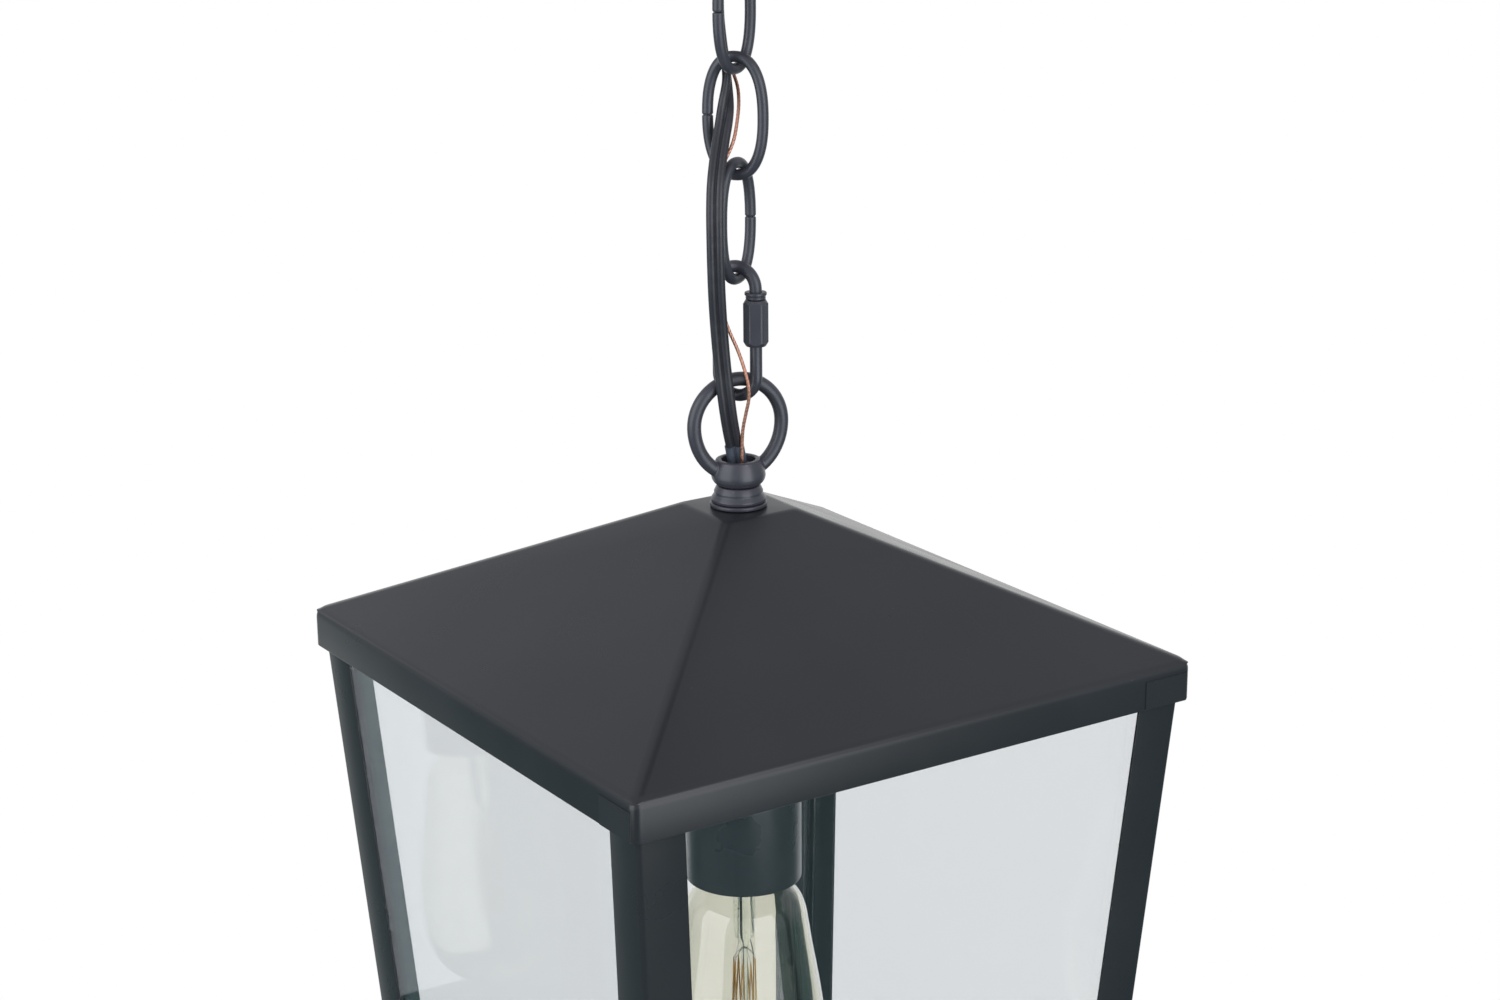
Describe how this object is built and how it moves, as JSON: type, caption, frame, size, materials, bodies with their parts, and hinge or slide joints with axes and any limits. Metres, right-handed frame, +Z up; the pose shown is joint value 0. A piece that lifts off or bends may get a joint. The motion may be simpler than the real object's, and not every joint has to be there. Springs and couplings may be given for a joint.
{
  "type": "hanging lantern",
  "caption": "Square tapered pendant lantern with a hipped roof, glass panes and a bare bulb, on a short chain with a quick link, cord and ground wire.",
  "frame": {"origin": "on the ceiling, at the top face of the canopy's crossbar, on the axis that the lantern hangs from", "axes": "+Z up, -Y out of the lantern's front face, +X to that face's right"},
  "size_m": [0.24, 0.24, 0.6404],
  "materials": {
    "black_paint": "satin black powder coat",
    "black_chain": "satin black, with light wear where links touch",
    "zinc": "bright zinc plating, hidden inside",
    "green_screw": "green dyed zinc",
    "wire_nut": "moulded thermoplastic",
    "pane_glass": "clear float glass with a slight smoke-grey cast",
    "porcelain": "glazed ceramic socket",
    "brass": "satin brass",
    "black_glass": "black glass insulator",
    "solder": "dull solder",
    "bulb_glass": "clear, faintly amber",
    "bulb_foot_glass": "clear lead glass",
    "filament": "matt amber filament",
    "cord_jacket": "black vinyl",
    "copper": "bare stranded copper"
  },
  "bodies": {
    "canopy": {"crossbar": "zinc", "canopy": "black_paint", "canopy_stud_left": "zinc", "canopy_stud_right": "zinc", "cap_nut_left": "black_paint", "cap_nut_right": "black_paint", "canopy_nipple": "zinc", "canopy_nut": "zinc", "ground_screw": "green_screw", "wire_nut_line": "wire_nut", "wire_nut_neutral": "wire_nut", "canopy_loop": "black_paint", "canopy_bell": "black_paint", "canopy_washer": "black_paint", "cord_canopy": "cord_jacket", "ground_wire_canopy": "copper"},
    "link_1": {"chain_link_1": "black_chain", "cord_link_1": "cord_jacket", "ground_wire_link_1": "copper"},
    "link_2": {"chain_link_2": "black_chain", "cord_link_2": "cord_jacket", "ground_wire_link_2": "copper"},
    "link_3": {"chain_link_3": "black_chain", "cord_link_3": "cord_jacket", "ground_wire_link_3": "copper"},
    "quick_link": {"quick_link": "black_chain", "cord_quick_link": "cord_jacket", "ground_wire_quick_link": "copper"},
    "sleeve": {"quick_link_sleeve": "black_chain"},
    "lantern": {"lantern_loop": "black_paint", "roof_bell": "black_paint", "roof_washer": "black_paint", "roof": "black_paint", "top_frame": "black_paint", "bottom_frame": "black_paint", "pane_retainer": "black_paint", "post_back_right": "black_paint", "post_back_left": "black_paint", "post_front_left": "black_paint", "post_front_right": "black_paint", "glass_front": "pane_glass", "glass_right": "pane_glass", "glass_back": "pane_glass", "glass_left": "pane_glass", "stem_tube": "zinc", "roof_nut": "zinc", "socket_cup": "black_paint", "socket_body": "porcelain", "screw_shell": "brass", "centre_contact": "brass", "cord_lantern": "cord_jacket", "ground_wire_lantern": "copper"},
    "bulb": {"bulb_base": "brass", "bulb_insulator": "black_glass", "bulb_eyelet": "solder", "bulb_envelope": "bulb_glass", "bulb_foot": "bulb_foot_glass", "bulb_filament": "filament"}
  },
  "joints": [
    {"name": "link_1_swing", "type": "hinge", "parent": "canopy", "child": "link_1", "pos_m": [0, 0, -0.07255], "axis": [0.7837, -0.6211, 0], "range_deg": [-30, 30], "deforming": ["cord_canopy", "ground_wire_canopy", "cord_link_1", "ground_wire_link_1"]},
    {"name": "link_2_swing", "type": "hinge", "parent": "link_1", "child": "link_2", "pos_m": [0, 0, -0.11025], "axis": [0.9121, 0.4099, 0], "range_deg": [-30, 30], "deforming": ["cord_link_2", "ground_wire_link_2"]},
    {"name": "link_3_swing", "type": "hinge", "parent": "link_2", "child": "link_3", "pos_m": [0, 0, -0.14855], "axis": [0.5878, -0.809, 0], "range_deg": [-30, 30], "deforming": ["cord_link_3", "ground_wire_link_3"]},
    {"name": "quick_link_swing", "type": "hinge", "parent": "link_3", "child": "quick_link", "pos_m": [0, 0, -0.18685], "axis": [0.8878, 0.4602, 0], "range_deg": [-30, 30], "deforming": ["cord_quick_link", "ground_wire_quick_link"]},
    {"name": "lantern_swing", "type": "hinge", "parent": "quick_link", "child": "lantern", "pos_m": [0, 0, -0.2306], "axis": [0.0105, -0.9999, 0], "range_deg": [-30, 30], "deforming": ["cord_lantern", "ground_wire_lantern"]},
    {"name": "sleeve_travel", "type": "slide", "parent": "quick_link", "child": "sleeve", "axis": [0, 0, -1], "range_m": [0, 0.0085]},
    {"name": "bulb_unscrew", "type": "slide", "parent": "lantern", "child": "bulb", "axis": [0, 0, -1], "range_m": [0, 0.032]}
  ]
}
